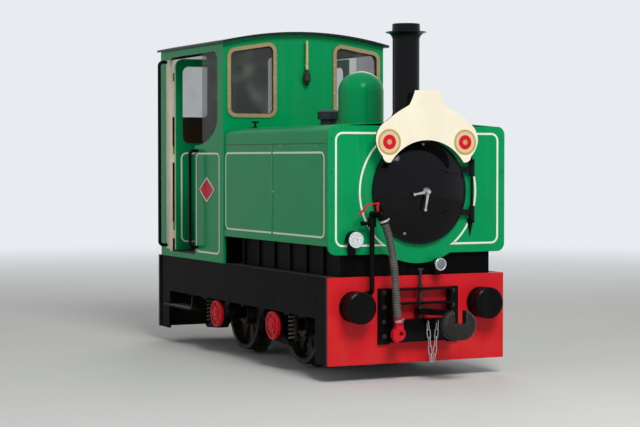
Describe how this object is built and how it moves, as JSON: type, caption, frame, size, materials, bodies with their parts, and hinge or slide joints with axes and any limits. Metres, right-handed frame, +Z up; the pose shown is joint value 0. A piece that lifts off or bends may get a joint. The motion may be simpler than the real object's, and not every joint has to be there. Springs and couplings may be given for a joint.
{
  "type": "narrow gauge diesel locomotive",
  "caption": "Four-wheeled narrow gauge diesel locomotive with a steam outline: chimney, dome, round front door, lined bonnet, arched-roof cab, side buffers and draw gear.",
  "frame": {"origin": "under the middle of the locomotive, on the floor that the wheel flanges stand on", "axes": "+X forward, towards the chimney end, +Y to the left side, +Z up"},
  "size_m": [3.524, 1.36, 2.2068],
  "materials": {
    "paint_green": "gloss green paint with pale lining",
    "paint_red": "gloss red paint",
    "paint_black": "gloss black paint",
    "frame_black": "dull black paint, dusty",
    "cream": "cream paint",
    "steel": "worn bare steel",
    "wheel": "dusty black wheels with bright treads",
    "zinc": "zinc coated",
    "chrome": "polished",
    "brass": "polished brass",
    "window_frame": "tan painted frames",
    "glass": "clear window pane",
    "hose": "grey ribbed rubber",
    "cab_inside": "cream paint inside the cab",
    "floor": "worn boards",
    "leather": "black leather cloth",
    "lens": "white lens",
    "engine": "grey painted castings"
  },
  "bodies": {
    "chassis": {"arm_brackets": "frame_black", "axlebox_arms": "frame_black", "axlebox_covers": "paint_red", "bonnet": "paint_green", "brake_gear": "frame_black", "brake_hose": "hose", "brake_standpipe": "paint_black", "buffer_beams": "paint_red", "buffers": "paint_black", "cab_door_hinges": "steel", "cab_floor": "floor", "cab_front_wall": "paint_green", "cab_left_side": "paint_green", "cab_rear_wall": "paint_green", "cab_right_side": "paint_green", "cab_roof": "paint_black", "cab_steps": "frame_black", "chimney": "paint_black", "coil_springs": "steel", "control_desk": "cab_inside", "coupling_chain": "zinc", "coupling_pins": "steel", "coupling_pockets": "paint_black", "deck": "frame_black", "dome": "paint_green", "engine_block": "engine", "filler_cap": "paint_black", "frame_plates": "frame_black", "frame_stretchers": "frame_black", "front_plate": "paint_green", "handrails": "paint_black", "hose_coupling": "paint_red", "lower_hood": "paint_black", "marker_lamp": "paint_black", "marker_lamp_lens": "lens", "radiator": "frame_black", "smokebox_hinge": "paint_black", "spot_lamp": "chrome", "stool_post": "frame_black", "stool_seat": "leather", "transmission": "engine", "valve_lever": "paint_red", "whistle": "brass", "whistle_valve": "paint_black", "window_frames": "window_frame", "window_panes": "glass"},
    "front_wheelset": {"front_wheelset": "wheel", "front_axle": "frame_black"},
    "rear_wheelset": {"rear_wheelset": "wheel", "rear_axle": "frame_black"},
    "smokebox_door": {"smokebox_door": "paint_black", "smokebox_handles": "chrome", "headboard": "cream", "headboard_bracket": "paint_black"},
    "right_cab_door": {"right_cab_door": "paint_green"},
    "left_cab_door": {"left_cab_door": "paint_green"},
    "front_drawbar": {"front_drawbar": "steel"},
    "rear_drawbar": {"rear_drawbar": "steel"},
    "front_coupler": {"front_coupler": "steel"},
    "rear_coupler": {"rear_coupler": "steel"}
  },
  "joints": [
    {"name": "front_wheelset_spin", "type": "hinge", "parent": "chassis", "child": "front_wheelset", "pos_m": [0.608, 0, 0.28], "axis": [0, 1, 0], "continuous": true},
    {"name": "rear_wheelset_spin", "type": "hinge", "parent": "chassis", "child": "rear_wheelset", "pos_m": [-0.325, 0, 0.28], "axis": [0, 1, 0], "continuous": true},
    {"name": "smokebox_door_hinge", "type": "hinge", "parent": "chassis", "child": "smokebox_door", "pos_m": [1.456, 0.36, 1.14], "axis": [0, 0, 1], "range_deg": [0, 90]},
    {"name": "right_cab_door_hinge", "type": "hinge", "parent": "chassis", "child": "right_cab_door", "pos_m": [-1.183, -0.582, 1.3], "axis": [0, 0, 1], "range_deg": [-90, 0]},
    {"name": "left_cab_door_hinge", "type": "hinge", "parent": "chassis", "child": "left_cab_door", "pos_m": [-1.183, 0.582, 1.3], "axis": [0, 0, 1], "range_deg": [-90, 0]},
    {"name": "front_drawbar_swing", "type": "hinge", "parent": "chassis", "child": "front_drawbar", "pos_m": [1.456, 0, 0.415], "axis": [0, 0, 1], "range_deg": [-54, 0]},
    {"name": "front_coupler_swing", "type": "hinge", "parent": "front_drawbar", "child": "front_coupler", "pos_m": [1.66004, 0.10396, 0.38], "axis": [0, 0, 1], "range_deg": [-3, 57]},
    {"name": "rear_drawbar_swing", "type": "hinge", "parent": "chassis", "child": "rear_drawbar", "pos_m": [-1.456, 0, 0.415], "axis": [0, 0, 1], "range_deg": [-54, 0]},
    {"name": "rear_coupler_swing", "type": "hinge", "parent": "rear_drawbar", "child": "rear_coupler", "pos_m": [-1.66004, -0.10396, 0.38], "axis": [0, 0, 1], "range_deg": [-3, 57]}
  ]
}
